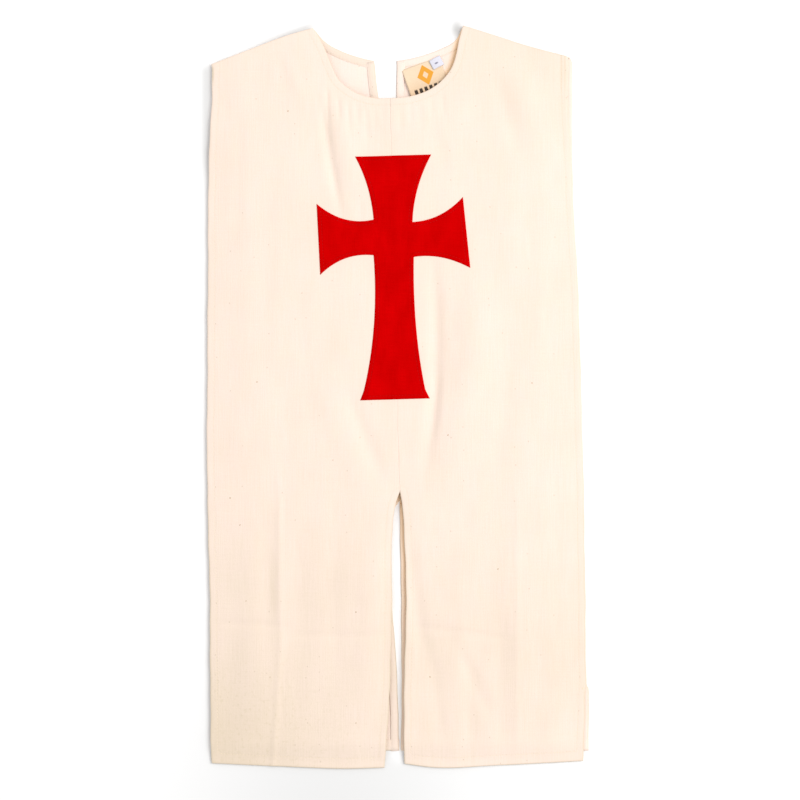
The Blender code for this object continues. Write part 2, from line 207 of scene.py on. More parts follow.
def divided(breaks, step):
    """Places from break to break, evenly spaced between two breaks and about step apart at most."""
    places = [breaks[0]]
    for start, end in zip(breaks, breaks[1:]):
        count = max(1, math.ceil((end - start) / step))
        places += [start + (end - start) * number / count for number in range(1, count + 1)]
    return np.array(places)


def panel_edges(panel):
    """A panel's edges as long lines: shoulder, neck, side, foot and middle."""
    shoulder, neck, foot = (smooth_curve(line) for line in (panel.shoulder, panel.neck, panel.foot))
    side_levels = np.linspace(shoulder[0, 1], foot[0, 1], EDGE_POINTS)
    middle_levels = np.linspace(neck[-1, 1], foot[-1, 1], EDGE_POINTS)
    side = edge_line(panel.sections, panel.half + "_edge", side_levels)
    middle = edge_line(panel.sections, panel.half + "_middle", middle_levels)
    side[0], side[-1], middle[0], middle[-1] = shoulder[0], foot[0], neck[-1], foot[-1]
    return shoulder, neck, side, foot, middle


def panel_points(panel):
    """A panel's points, [column, row], stretched between its four edges and closer together at the edges."""
    shoulder, neck, side, foot, middle = panel_edges(panel)
    top = np.vstack([shoulder, neck[1:]])
    top_length, foot_length = lengths_along(top)[-1], lengths_along(foot)[-1]
    height = foot[-1, 1] - top[-1, 1]
    far_rim = [top_length - place for place in RIM_PLACES[::-1]]
    across = divided((*RIM_PLACES, *far_rim), panel.cell) / top_length
    marks = [mark - top[-1, 1] for mark in panel.marks]
    low_rim = [height - place for place in RIM_PLACES[::-1]]
    down = divided((*RIM_PLACES, *marks, *low_rim), panel.cell) / height
    top = points_along(top, across * top_length)
    foot = points_along(foot, across * foot_length)
    side_levels = side[0, 1] + (side[-1, 1] - side[0, 1]) * down
    middle_levels = middle[0, 1] + height * down
    side = np.column_stack([np.interp(side_levels, side[:, 1], side[:, 0]), side_levels])
    middle = np.column_stack([np.interp(middle_levels, middle[:, 1], middle[:, 0]), middle_levels])
    u, v = across[:, None, None], down[None, :, None]
    corners = (1 - v) * ((1 - u) * top[0] + u * top[-1]) + v * ((1 - u) * foot[0] + u * foot[-1])
    return (1 - v) * top[:, None] + v * foot[:, None] + (1 - u) * side[None] + u * middle[None] - corners


def panel_hems(panel):
    """The edges of a panel that are turned in and stitched, with the width of each hem."""
    shoulder, neck, side, foot, middle = panel_edges(panel)
    hems = [Hem(neck, HEM_WIDTH), Hem(side, HEM_WIDTH), Hem(foot, FOOT_HEM_WIDTH)]
    for start, end in panel.slits:
        hems.append(Hem(middle[(middle[:, 1] >= start) & (middle[:, 1] <= end)], HEM_WIDTH))
    return hems


def inset_line(hem, centre, inset):
    """A line that runs along a hem's edge, this far inside it."""
    ahead = np.gradient(hem.line, axis=0)
    ahead /= np.linalg.norm(ahead, axis=1)[:, None]
    inward = np.column_stack([-ahead[:, 1], ahead[:, 0]])
    if ((centre - hem.line) * inward).sum() < 0:
        inward = -inward
    return hem.line + inward * inset


def placed(points, level):
    """Places in the frame from points in millimetres across and down, and their heights."""
    points = np.asarray(points, float)
    level = level * np.ones(points.shape[:-1])
    return np.stack([points[..., 0], LENGTH / 2 - points[..., 1], level], axis=-1) * MM


def add_sheet(mesh, places, **values):
    """A sheet of faces through a grid of places, [column, row], with named values kept for its paint."""
    kept = mesh.verts.layers.float
    layers = {name: kept.get(name) or kept.new(name) for name in values}
    columns, rows = places.shape[:2]
    made = bmesh.ops.create_grid(mesh, x_segments=columns - 1, y_segments=rows - 1, size=0.5)
    for vert in made["verts"]:
        column = round((vert.co.x + 0.5) * (columns - 1))
        row = round((vert.co.y + 0.5) * (rows - 1))
        vert.co = places[column, row]
        for name, layer in layers.items():
            vert[layer] = values[name][column, row]


def finished(name, mesh, wall=None):
    """The mesh as a smooth object, its sheets facing up and given a wall below them."""
    mesh.normal_update()
    if wall:
        bmesh.ops.reverse_faces(mesh, faces=[face for face in mesh.faces if face.normal.z < 0])
    for face in mesh.faces:
        face.smooth = True
    data = bpy.data.meshes.new(name)
    mesh.to_mesh(data)
    mesh.free()
    thing = bpy.data.objects.new(name, data)
    bpy.context.scene.collection.objects.link(thing)
    if wall:
        shell = thing.modifiers.new("wall", "SOLIDIFY")
        shell.thickness = wall * MM
        shell.offset = -1.0
    return thing


def rim_drop(from_edge):
    """How far cloth rounds off towards an edge, as a share of its full drop."""
    return np.clip(1.0 - from_edge / RIM_WIDTH, 0.0, 1.0) ** 2


def shaded_share(points, edges):
    """How much warm light is painted on each point, standing for light that has come through the cloth that
    shades it, from nought to one.
    """
    share = np.zeros(len(points))
    for edge in edges:
        share = np.maximum(share, smooth_step(1.0 - distance_to(points, np.array(edge)) / GLOW_REACH))
    return share


def seam_tension(down):
    """How hard the middle seam pulls in at this level."""
    pulls = (pull.strength * np.exp(-(((down - pull.down) / pull.half_width) ** 2)) for pull in SEAM_PULLS)
    return LEAST_SEAM_PULL + sum(pulls)


def make_panel(name, panel, height, hem_rise, shaded_edges=()):
    """A panel's cloth with its hems turned onto the side that hem_rise says, above or below the cloth."""
    points = panel_points(panel)
    flat = points.reshape(-1, 2)
    centre = flat.mean(0)
    hems = panel_hems(panel)
    from_hems = [distance_to(flat, hem.line) for hem in hems]
    signed = np.min([gap - hem.width + STITCH_INSET for gap, hem in zip(from_hems, hems)], axis=0)
    shoulder, middle = panel_edges(panel)[0], panel_edges(panel)[-1]
    from_seam = np.minimum(distance_to(flat, shoulder), distance_to(flat, middle))
    level = height(flat) - RIM_DROP * rim_drop(np.min(from_hems, axis=0))
    level -= SEAM_DROP * seam_tension(flat[:, 1]) * rim_drop(from_seam)
    level = np.maximum(level, CALICO_WALL)
    mesh = bmesh.new()
    grid = points.shape[:2]
    values = {
        "from_stitches": signed.reshape(grid),
        "from_edge": np.minimum(np.min(from_hems, axis=0), distance_to(flat, shoulder)).reshape(grid),
        "light_through_front": shaded_share(flat, shaded_edges).reshape(grid),
    }
    add_sheet(mesh, placed(points, level.reshape(grid)), **values)
    for order, hem in enumerate(hems):
        length = lengths_along(hem.line)[-1]
        places = np.linspace(0.0, length, round(length / panel.cell) + 1)
        even = Hem(points_along(hem.line, places), hem.width)
        insets = [row.share * hem.width + row.inset for row in HEM_ROWS]
        sink = np.array([row.sink for row in HEM_ROWS])
        ribbon = np.stack([inset_line(even, centre, inset) for inset in insets])
        level = height(ribbon.reshape(-1, 2)).reshape(ribbon.shape[:2]) + hem_rise - sink[:, None]
        level += CORNER_LAYER * order * np.sign(hem_rise)
        from_edge = np.array(insets)[:, None] + np.zeros(ribbon.shape[:2])
        values = {
            "from_stitches": from_edge - hem.width + STITCH_INSET,
            "from_edge": from_edge,
            "light_through_front": shaded_share(ribbon.reshape(-1, 2), shaded_edges).reshape(ribbon.shape[:2]),
        }
        add_sheet(mesh, placed(ribbon, level), **values)
    return finished(name, mesh, CALICO_WALL)


def joined(operation, reflected=False):
    """A method that joins a value to another, or to a number, by this operation."""

    def method(self, other):
        pair = (other, self) if reflected else (self, other)
        return self.with_others(operation, *pair)

    return method


class Value:
    """A number that varies over a surface, joined to others by plain arithmetic."""

    def __init__(self, paint, socket):
        self.paint = paint
        self.socket = socket

    def with_others(self, operation, *values):
        made = self.paint.node("Math", {"operation": operation}, dict(enumerate(values)))
        return Value(self.paint, made.outputs[0])

    __add__ = joined("ADD")
    __radd__ = joined("ADD", reflected=True)
    __sub__ = joined("SUBTRACT")
    __rsub__ = joined("SUBTRACT", reflected=True)
    __mul__ = joined("MULTIPLY")
    __rmul__ = joined("MULTIPLY", reflected=True)
    __truediv__ = joined("DIVIDE")
    __gt__ = joined("GREATER_THAN")
    __lt__ = joined("LESS_THAN")

    def __abs__(self):
        return self.with_others("ABSOLUTE", self)

    def sine(self):
        return self.with_others("SINE", self)

    def bell(self, half_width):
        """One at nought, dying away over the half width."""
        share = self / half_width
        return self.with_others("EXPONENT", share * share * -1.0)

    def ramp(self, start, end):
        """Nought before the start and one after the end, softly between them."""
        settings = {"interpolation_type": "SMOOTHSTEP"}
        sockets = {"Value": self, "From Min": start, "From Max": end}
        return Value(self.paint, self.paint.node("MapRange", settings, sockets).outputs[0])


class Paint:
    """A material and its nodes, read from the place on the object itself, in millimetres."""

    def __init__(self, name):
        self.material = bpy.data.materials.new(name)
        self.material.use_nodes = True
        self.tree = self.material.node_tree
        self.shader = self.tree.nodes["Principled BSDF"]
        place = self.node("TexCoord", {}, {}).outputs["Object"]
        scaled = self.node("VectorMath", {"operation": "SCALE"}, {0: place, "Scale": 1.0 / MM})
        self.place = scaled.outputs[0]

    def node(self, kind, settings, sockets):
        """A node of this type, given its settings first and then its sockets."""
        made = self.tree.nodes.new("ShaderNode" + kind)
        for name, value in settings.items():
            setattr(made, name, value)
        for key, value in sockets.items():
            self.join(made.inputs[key], value)
        return made

    def join(self, socket, value):
        if isinstance(value, Value):
            value = value.socket
        if isinstance(value, bpy.types.NodeSocket):
            self.tree.links.new(value, socket)
        else:
            socket.default_value = value

    def set(self, **sockets):
        """Sets the surface shader's own sockets."""
        for name, value in sockets.items():
            self.join(self.shader.inputs[name.replace("_", " ")], value)

    def axes(self):
        parts = self.node("SeparateXYZ", {}, {0: self.place})
        return Value(self, parts.outputs[0]), Value(self, parts.outputs[1])

    def moved(self, grain, shift):
        """The place measured in grains of this width and height, moved by a shift."""
        scale = (1 / grain[0], 1 / grain[1], 0.0)
        spread = self.node("VectorMath", {"operation": "MULTIPLY"}, {0: self.place, 1: scale})
        offset = (shift, shift * 1.7, 0.0)
        return self.node("VectorMath", {"operation": "ADD"}, {0: spread.outputs[0], 1: offset}).outputs[0]

    def noise(self, grain, shift=0.0, detail=2.0):
        """Soft noise from about -0.5 to 0.5, with grains of this width and height in millimetres."""
        sockets = {"Vector": self.moved(grain, shift), "Scale": 1.0, "Detail": detail}
        made = self.node("TexNoise", {"noise_dimensions": "2D"}, sockets)
        return Value(self, made.outputs[0]) - 0.5

    def cells(self, grain, shift=0.0):
        """Scattered cells: how far the nearest middle is, in cells, and a chance number for each cell."""
        sockets = {"Vector": self.moved(grain, shift), "Scale": 1.0}
        made = self.node("TexVoronoi", {"voronoi_dimensions": "2D"}, sockets)
        chance = self.node("SeparateColor", {}, {0: made.outputs["Color"]})
        return Value(self, made.outputs["Distance"]), Value(self, chance.outputs[0])

    def mixed(self, factor, first, second):
        """Two colours mixed by a factor: sockets 6 and 7 take the colours, and output 2 is their mix."""
        made = self.node("Mix", {"data_type": "RGBA"}, {0: factor, 6: first, 7: second})
        return made.outputs[2]

    def attribute(self, name):
        return Value(self, self.node("Attribute", {"attribute_name": name}, {}).outputs["Fac"])

    def bump(self, height):
        """The surface's lie, roughened by a height in millimetres."""
        return self.node("Bump", {}, {"Strength": 1.0, "Distance": MM, "Height": height}).outputs[0]


CALICO_SHADE = (0.715, 0.60, 0.465, 1.0)
CALICO_ROSY = (0.97, 0.79, 0.745, 1.0)
CALICO_YELLOW = (0.97, 0.812, 0.722, 1.0)
# The colour of the warm glow painted where the front shades the back
CALICO_GLOW = (1.0, 0.68, 0.39, 1.0)
SEED_BROWN = (0.40, 0.33, 0.23, 1.0)

# The width and height of each kind of grain in the cloth
WARP_GRAIN = (1.1, 34.0)
WEFT_GRAIN = (26.0, 1.2)
FUZZ_GRAIN = (1.6, 2.2)
CLOUD_GRAIN = (34.0, 60.0)
PATCH_GRAIN = (14.0, 19.0)
SPECK_GRAIN = (3.6, 4.6)
SEED_GRAIN = (13.0, 17.0)
PUCKER_GRAIN = (1.5, 1.5)
THREAD_PITCH = 0.9

# How much each part of the cloth changes its tone, and how much its height
Part = namedtuple("Part", "tone height")
WARP = Part(0.25, 0.07)
WEFT = Part(0.10, 0.045)
FUZZ = Part(0.16, 0.06)
# The groove's tone is painted shade in the sunk stitch lines
GROOVE = Part(0.04, 0.08)
CALICO_TONE = 0.54
BACK_PALENESS = 0.22
CLOUD_TONE = 0.22
WEAVE_HEIGHT = 0.012
PUCKER_HEIGHT = 0.22
HEM_HEIGHT = 0.04

# Where the calico is painted darker, in millimetres from its middle: along the crease at the lower left, a
# painted shadow at the top of the left side, and two lines of painted shade at the top of the right side
Spot = namedtuple("Spot", "across up half_width half_height")
CREASE_DARKENING = Spot(-125.0, -192.0, 3.6, 30.0)
CORNER_SHADOW = Spot(-185.2, 323.5, 0.8, 6.5)
ARMHOLE_SHADE_LINES = (163.5, 167.0)


def spot_on(across, up, spot):
    """One in the middle of a spot, dying away all round."""
    return (across - spot.across).bell(spot.half_width) * (up - spot.up).bell(spot.half_height)


def darkening(across, up, specks):
    """How much darker the calico is painted: darker at the lower left and along its crease there, with
    painted shade across the skirt, at the right shoulder and in two lines at the top of the right side, and
    a painted shadow at the top of the left side.
    """
    # Darker at the lower left, mottled, and along the crease there
    lower_left = (1.0 - up.ramp(-345.0, -210.0)) * (across + 200.0).bell(145.0)
    darker_patches = lower_left * (0.42 + specks.ramp(0.06, 0.3) * 0.3) + spot_on(across, up, CREASE_DARKENING) * 0.19
    # Painted shade across the skirt, at the right shoulder and in two lines at the top of the right side,
    # and a painted shadow at the top of the left side
    skirt_shade = (up + 205.0 + across.ramp(-60.0, 20.0) * 50.0).bell(85.0)
    shoulder = up.ramp(230.0, 330.0) * across.ramp(20.0, 110.0)
    first, second = ((across - line).bell(0.9) for line in ARMHOLE_SHADE_LINES)
    armhole_shade = (first + second) * up.ramp(285.0, 325.0)
    return darker_patches + skirt_shade * 0.14 + shoulder * 0.11 + armhole_shade * 0.3 + spot_on(across, up, CORNER_SHADOW) * 0.9


def calico(name, shift, paleness=0.0, hem_shade=0.0):
    """Undyed calico: cream, with thick and thin threads, clouds, brown seed flecks and sunk stitching. Shade
    is painted into its colour in the stitch grooves, along its edges, along the back's hems and in parts of
    darkening(), and a warm glow is painted where the front shades the back.
    """
    paint = Paint(name)
    across, up = paint.axes()
    warp = paint.noise(WARP_GRAIN, shift)
    weft = paint.noise(WEFT_GRAIN, shift + 3.1)
    clouds = paint.noise(CLOUD_GRAIN, shift + 5.7)
    fuzz = paint.noise(FUZZ_GRAIN, shift + 9.2)
    patches = paint.noise(PATCH_GRAIN, shift + 7.3)
    specks = paint.noise(SPECK_GRAIN, shift + 2.7)
    distance, chance = paint.cells(SEED_GRAIN, shift + 1.9)
    seed = (distance < 0.014 + chance * 0.036) * (chance > 0.8) * (clouds > -0.01)
    stitches = paint.attribute("from_stitches")
    # The sunk stitch lines: painted darker as painted shade, and sunk in the bump
    groove = stitches.bell(0.9)
    hem = 1.0 - stitches.ramp(-1.0, 1.4)
    # Painted shade: a thin darker line along the cloth's edges, stronger low on the skirt
    rim = paint.attribute("from_edge").bell(1.1) * (0.42 - up.ramp(-180.0, 0.0) * 0.26)
    # Painted shade on the turned hems of the back's left half, inside the neck and at the slits, half as
    # strong at the foot
    painted_hem_shade = hem * hem_shade * (0.5 + up.ramp(-330.0, -160.0) * 0.5)
    threads = warp * WARP.tone + weft * WEFT.tone + fuzz * FUZZ.tone
    # Painted shade in the stitch grooves, along the edges and on the back's hems; darkening() adds painted
    # shade and other darker patches
    dark = groove * GROOVE.tone + rim + darkening(across, up, specks) + painted_hem_shade
    tone = CALICO_TONE + paleness + threads + clouds * CLOUD_TONE - dark
    light = paint.mixed(0.5 + patches * 1.3, CALICO_ROSY, CALICO_YELLOW)
    cream = paint.mixed(tone, CALICO_SHADE, light)
    # Painted light: a warm glow where the front's edges shade the back, for light come through the front's
    # cloth
    painted_glow = paint.attribute("light_through_front") * (0.3 + up.ramp(-330.0, -90.0) * 0.6)
    colour = paint.mixed(seed * 0.3, paint.mixed(painted_glow, cream, CALICO_GLOW), SEED_BROWN)
    turn = 2.0 * math.pi / THREAD_PITCH
    weave = (across * turn).sine() * (up * turn).sine()
    pucker = paint.noise(PUCKER_GRAIN, shift + 4.4) * stitches.bell(3.5)
    height = warp * WARP.height + weft * WEFT.height + fuzz * FUZZ.height + weave * WEAVE_HEIGHT
    height = height + pucker * PUCKER_HEIGHT - groove * GROOVE.height + hem * HEM_HEIGHT
    paint.set(Base_Color=colour, Roughness=0.92, Specular_IOR_Level=0.15, Normal=paint.bump(height))
    return paint.material


def dress(thing, material, piece):
    """Gives a piece its cloth, and puts it in the place of the solid of this name."""
    thing.data.materials.append(material)
    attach(thing, "root")
    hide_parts(piece)


BACK_LEFT = Panel(
    half="left",
    sections=BACK_SECTIONS,
    shoulder=LEFT_SHOULDER,
    neck=BACK_LEFT_NECK,
    foot=BACK_LEFT_FOOT,
    slits=((0.0, BACK_NECK_SLIT_END), (BACK_SLIT_TOP, LENGTH)),
    marks=(BACK_NECK_SLIT_END, BACK_SLIT_TOP, VENT_TOP, VENT_STEP),
    cell=BACK_CELL,
)
BACK_RIGHT = BACK_LEFT._replace(
    half="right", shoulder=RIGHT_BACK_SHOULDER, neck=BACK_RIGHT_NECK, foot=BACK_RIGHT_FOOT
)


def back_height(points):
    """The inner face of the back, which lies flat on the ground."""
    return np.full(len(points), CALICO_WALL)


back_left = make_panel("back_left_panel", BACK_LEFT, back_height, BACK_HEM_RISE, SHADED_EDGES)
back_right = make_panel("back_right_panel", BACK_RIGHT, back_height, BACK_HEM_RISE, SHADED_EDGES)
for panel, half, shift, hem_shade in ((back_left, "left", 11.0, 0.3), (back_right, "right", 23.0, 0.0)):
    dress(panel, calico("calico_back_" + half, shift, BACK_PALENESS, hem_shade), "back_" + half)

# Front panels: two halves of the same calico, seamed down the middle to the top of the skirt slit. They lie
# on the back with air between them, in soft folds set by the seams, and with the sharp creases of packing.
FRONT_CELL = 2.5
SEAM_LEVEL = 4.3
BODY_LEVEL = 6.2
FLOOR_LEVEL = 2.5
EDGE_ROLL = 42.0
FOOT_DROP_START = 716.0
FOOT_DROP = 24.0
FRONT_SLIT_TOP = 466.5
SIDE_TOP = 31.5
SIDE_POINTS = 60
FOLD_TAPER = 0.34
FOLD_POINTS = 48
FOLD_REACH = 3.0
GATHER_DEPTH = 1.8
LOWEST_TROUGH = 3.0
SEAM_CREASE_SHARE = 0.35
FRONT_SECTIONS = (
    Section(0.0, -187.0, -9.5, -9.5, 170.5),
    Section(73.0, -186.0, -8.0, -8.0, 170.5),
    Section(125.0, -189.5, -6.7, -6.7, 173.0),
    Section(200.0, -190.2, -4.9, -4.9, 176.8),
    Section(275.0, -190.5, -3.1, -3.1, 181.0),
    Section(425.0, -191.4, 0.5, 0.5, 185.0),
    Section(466.5, -191.0, 1.5, 1.5, 186.0),
    Section(478.0, -190.8, -2.2, 4.0, 186.2),
    Section(495.0, -190.3, -5.0, 5.5, 186.5),
    Section(535.0, -189.3, -6.5, 7.5, 187.0),
    Section(575.0, -188.5, -6.0, 8.0, 187.5),
    Section(615.0, -188.2, -6.5, 7.5, 187.8),
    Section(662.5, -188.0, -8.0, 5.8, 188.5),
    Section(668.0, -188.0, -8.4, 5.7, 187.2),
    Section(715.0, -187.6, -11.2, 5.9, 186.2),
    Section(745.0, -186.5, -13.5, 6.5, 185.5),
)
RIGHT_FRONT_SHOULDER = (Point(169.2, 30.9), Point(128.0, 20.0), Point(97.0, 10.0), Point(65.0, 0.0))
FRONT_LEFT_NECK = (
    Point(-85.0, 2.5),
    Point(-75.0, 20.0),
    Point(-66.0, 42.0),
    Point(-60.0, 54.0),
    Point(-50.0, 63.0),
    Point(-38.0, 69.5),
    Point(-24.0, 72.8),
    Point(-8.0, 73.0),
)
FRONT_LEFT_FOOT = (Point(-186.5, 739.0), Point(-110.0, 742.5), Point(-53.0, 744.5), Point(-13.5, 743.5))
FRONT_RIGHT_FOOT = (Point(185.5, 736.7), Point(102.0, 741.0), Point(32.0, 743.0), Point(6.5, 739.5))

# Soft ridges (rise above nought) and troughs (below), each along a bent line from start, past bend, to end,
# as places across and down
Fold = namedtuple("Fold", "rise half_width start bend end")
SOFT_FOLDS = (
    Fold(-2.6, 6.5, (33, 208), (48, 342), (21, 476)),
    Fold(-1.1, 4.0, (41, 335), (39, 378), (33, 428)),
    Fold(3.2, 22.0, (76, 225), (92, 345), (36, 485)),
    Fold(-1.5, 8.0, (-54, 360), (-32, 412), (-11, 468)),
    Fold(0.9, 15.0, (-80, 340), (-58, 415), (-26, 480)),
    Fold(-2.0, 5.0, (-77, 66), (-70, 130), (-54, 204)),
    Fold(1.4, 11.0, (-60, 70), (-54, 125), (-42, 180)),
    Fold(-1.0, 9.0, (92, 30), (108, 85), (128, 150)),
    Fold(1.1, 15.0, (114, 34), (134, 90), (150, 156)),
    Fold(-1.1, 7.5, (50, 602), (74, 650), (98, 704)),
    Fold(0.7, 10.0, (6, 470), (8.5, 600), (6.5, 790)),
    Fold(-2.0, 8.0, (9, 488), (14, 570), (30, 655)),
    Fold(-0.9, 7.0, (30, 608), (39, 665), (45, 735)),
    Fold(-1.0, 9.0, (103, 560), (103, 645), (105, 742)),
    Fold(-1.1, 9.0, (-131, 470), (-130, 560), (-131, 680)),
    Fold(-1.8, 8.0, (-7, 470), (-8, 590), (-12, 740)),
    Fold(1.0, 12.0, (-26, 500), (-30, 590), (-34, 700)),
    Fold(-1.1, 12.0, (-172, 590), (-170, 660), (-174, 745)),
    Fold(1.2, 16.0, (-136, 560), (-134, 650), (-138, 740)),
    Fold(-1.0, 12.0, (-98, 480), (-97, 600), (-100, 735)),
    Fold(1.2, 18.0, (118, 500), (119, 600), (117, 735)),
)
PRESSED_CREASES = (
    Fold(0.85, 2.8, (-119, 430), (-118.5, 530), (-118, 640)),
    Fold(0.85, 2.8, (-114, 560), (-121, 690), (-132, 830)),
    Fold(0.45, 2.6, (119, 430), (119.5, 600), (118.5, 790)),
    Fold(-1.0, 3.2, (-210, 598), (-150, 599), (-100, 601)),
    Fold(-0.8, 3.6, (-124, 611), (-60, 611), (2, 610)),
    Fold(-0.8, 3.6, (-2, 600), (60, 606), (134, 617)),
)
NECK_GATHERS = (
    Fold(-0.45, 2.2, (-71, 60), (-70.5, 75), (-69, 104)),
    Fold(-0.35, 1.9, (-60, 68), (-59.5, 85), (-58, 100)),
    Fold(-0.40, 2.1, (-50, 72), (-49.5, 90), (-48, 122)),
    Fold(-0.32, 1.8, (-41, 76), (-40.5, 86), (-40, 102)),
    Fold(-0.42, 2.2, (-32, 78), (-31.5, 95), (-30, 126)),
    Fold(-0.36, 1.8, (-24, 78), (-23.5, 90), (-23, 106)),
    Fold(-0.30, 1.7, (-16, 78), (-15.5, 88), (-15.5, 98)),
    Fold(-0.34, 2.0, (2, 78), (2.5, 92), (3, 112)),
    Fold(-0.26, 1.8, (12, 77), (12.5, 88), (13, 99)),
    Fold(-0.30, 2.0, (22, 75), (22.5, 90), (23.5, 110)),
    Fold(-0.24, 1.8, (33, 71), (33.5, 82), (34.5, 97)),
    Fold(-0.28, 2.0, (44, 64), (45, 78), (46.5, 95)),
)
SMALL_FOLDS = (
    Fold(-0.7, 4.5, (-39, 172), (-38, 184), (-38, 200)),
    Fold(-0.6, 3.5, (-104, 12), (-96, 8.5), (-84, 5)),
    Fold(0.5, 6.0, (-120, 22), (-105, 40), (-96, 84)),
    Fold(-0.5, 7.0, (30, 86), (40, 120), (52, 160)),
    Fold(-0.6, 6.0, (-160, 60), (-158, 150), (-165, 240)),
    Fold(0.5, 8.0, (-120, 120), (-118, 240), (-126, 380)),
    Fold(-0.5, 9.0, (-98, 260), (-92, 340), (-84, 430)),
    Fold(0.5, 9.0, (140, 180), (146, 300), (142, 420)),
    Fold(-0.6, 9.0, (112, 300), (108, 380), (96, 470)),
    Fold(-0.5, 7.0, (160, 420), (158, 540), (163, 660)),
    Fold(0.5, 8.0, (60, 500), (64, 580), (58, 700)),
    Fold(-1.0, 7.0, (72, 630), (73, 680), (71, 742)),
    Fold(-0.5, 8.0, (-62, 480), (-66, 560), (-60, 690)),
    Fold(-0.7, 6.0, (-180, 625), (-179, 680), (-180, 745)),
)


def fold_height(points, fold):
    """How much one fold lifts or lowers the cloth, dying away to its sides and its ends."""
    share = np.linspace(0.0, 1.0, FOLD_POINTS)[:, None]
    start, bend, end = (np.array(place) for place in (fold.start, fold.bend, fold.end))
    line = (1 - share) ** 2 * start + 2 * share * (1 - share) * bend + share**2 * end
    reach = FOLD_REACH * fold.half_width
    near = ((points > line.min(0) - reach) & (points < line.max(0) + reach)).all(1)
    lift = np.zeros(len(points))
    if near.any():
        close = points[near]
        nearest = np.linalg.norm(close[:, None, :] - line[None], axis=2).argmin(1)
        place = nearest / (len(line) - 1)
        along = smooth_step(np.minimum(place, 1.0 - place) / FOLD_TAPER)
        lift[near] = fold.rise * along * np.exp(-((distance_to(close, line) / fold.half_width) ** 2))
    return lift


def ripples(points):
    """The faint unevenness of cloth that was ironed once and then folded."""
    across, down = points[:, 0], points[:, 1]
    upright = 0.16 * np.sin(across / 8.5 + 1.2 * np.sin(down / 95.0))
    slanting = 0.12 * np.sin(across / 14.0 - down / 120.0 + 2.0)
    level = 0.10 * np.sin(down / 21.0 + 0.9 * np.sin(across / 33.0))
    fine = 0.07 * np.sin(across / 5.1 + down / 47.0)
    return upright + slanting + level + fine


def side_line(shoulder, edge):
    """One side of the front: its shoulder from the neck outwards, then its edge down to the foot."""
    levels = np.linspace(SIDE_TOP, LENGTH, SIDE_POINTS)
    return np.vstack([np.array(shoulder[::-1], float), edge_line(FRONT_SECTIONS, edge, levels)])


def front_height(points):
    """The outer face of the front."""
    left = distance_to(points, side_line(LEFT_SHOULDER, "left_edge"))
    right = distance_to(points, side_line(RIGHT_FRONT_SHOULDER, "right_edge"))
    fade = smooth_step(np.minimum(left, right) / EDGE_ROLL)
    drop = smooth_step((points[:, 1] - FOOT_DROP_START) / FOOT_DROP)
    body = SEAM_LEVEL + (BODY_LEVEL - SEAM_LEVEL) * fade
    lowest = SEAM_LEVEL - (SEAM_LEVEL - LOWEST_TROUGH) * fade
    lowest += (FLOOR_LEVEL - lowest) * drop
    soft = sum(fold_height(points, fold) for fold in SOFT_FOLDS + SMALL_FOLDS) + ripples(points)
    sharp = sum(fold_height(points, fold) for fold in PRESSED_CREASES)
    sharp += GATHER_DEPTH * sum(fold_height(points, fold) for fold in NECK_GATHERS)
    sharp *= SEAM_CREASE_SHARE + (1.0 - SEAM_CREASE_SHARE) * fade
    level = body + (FLOOR_LEVEL - body) * drop + fade * soft
    return np.maximum(lowest, level) + sharp


FRONT_LEFT = Panel(
    half="left",
    sections=FRONT_SECTIONS,
    shoulder=LEFT_SHOULDER,
    neck=FRONT_LEFT_NECK,
    foot=FRONT_LEFT_FOOT,
    slits=((FRONT_SLIT_TOP, LENGTH),),
    marks=(FRONT_SLIT_TOP, VENT_TOP),
    cell=FRONT_CELL,
)
FRONT_RIGHT = FRONT_LEFT._replace(
    half="right", shoulder=RIGHT_FRONT_SHOULDER, neck=FRONT_RIGHT_NECK, foot=FRONT_RIGHT_FOOT
)
front_left = make_panel("front_left_panel", FRONT_LEFT, front_height, -CALICO_WALL)
front_right = make_panel("front_right_panel", FRONT_RIGHT, front_height, -CALICO_WALL)
for panel, half, shift in ((front_left, "left", 37.0), (front_right, "right", 53.0)):
    dress(panel, calico("calico_front_" + half, shift), "front_" + half)

# Cross: one piece of bright red cotton with its edges turned under, laid over the chest seam and sewn down
# with a straight line of red stitching a few millimetres inside its edge.
CROSS_WALL = 0.5
CROSS_RISE = 0.75
CROSS_STITCHES = 3.8
CROSS_HEM_WIDTH = 7.5
CROSS_HEM_RISE = 0.25
CROSS_HEM_SLOPE = 2.0
CROSS_RIM_WIDTH = 1.4
CROSS_RIM_DROP = 0.7
SAME_PLACE = 0.02
CROSS_DARK_RED = (0.46, 0.0, 0.0, 1.0)
CROSS_BRIGHT_RED = (0.62, 0.0003, 0.001, 1.0)

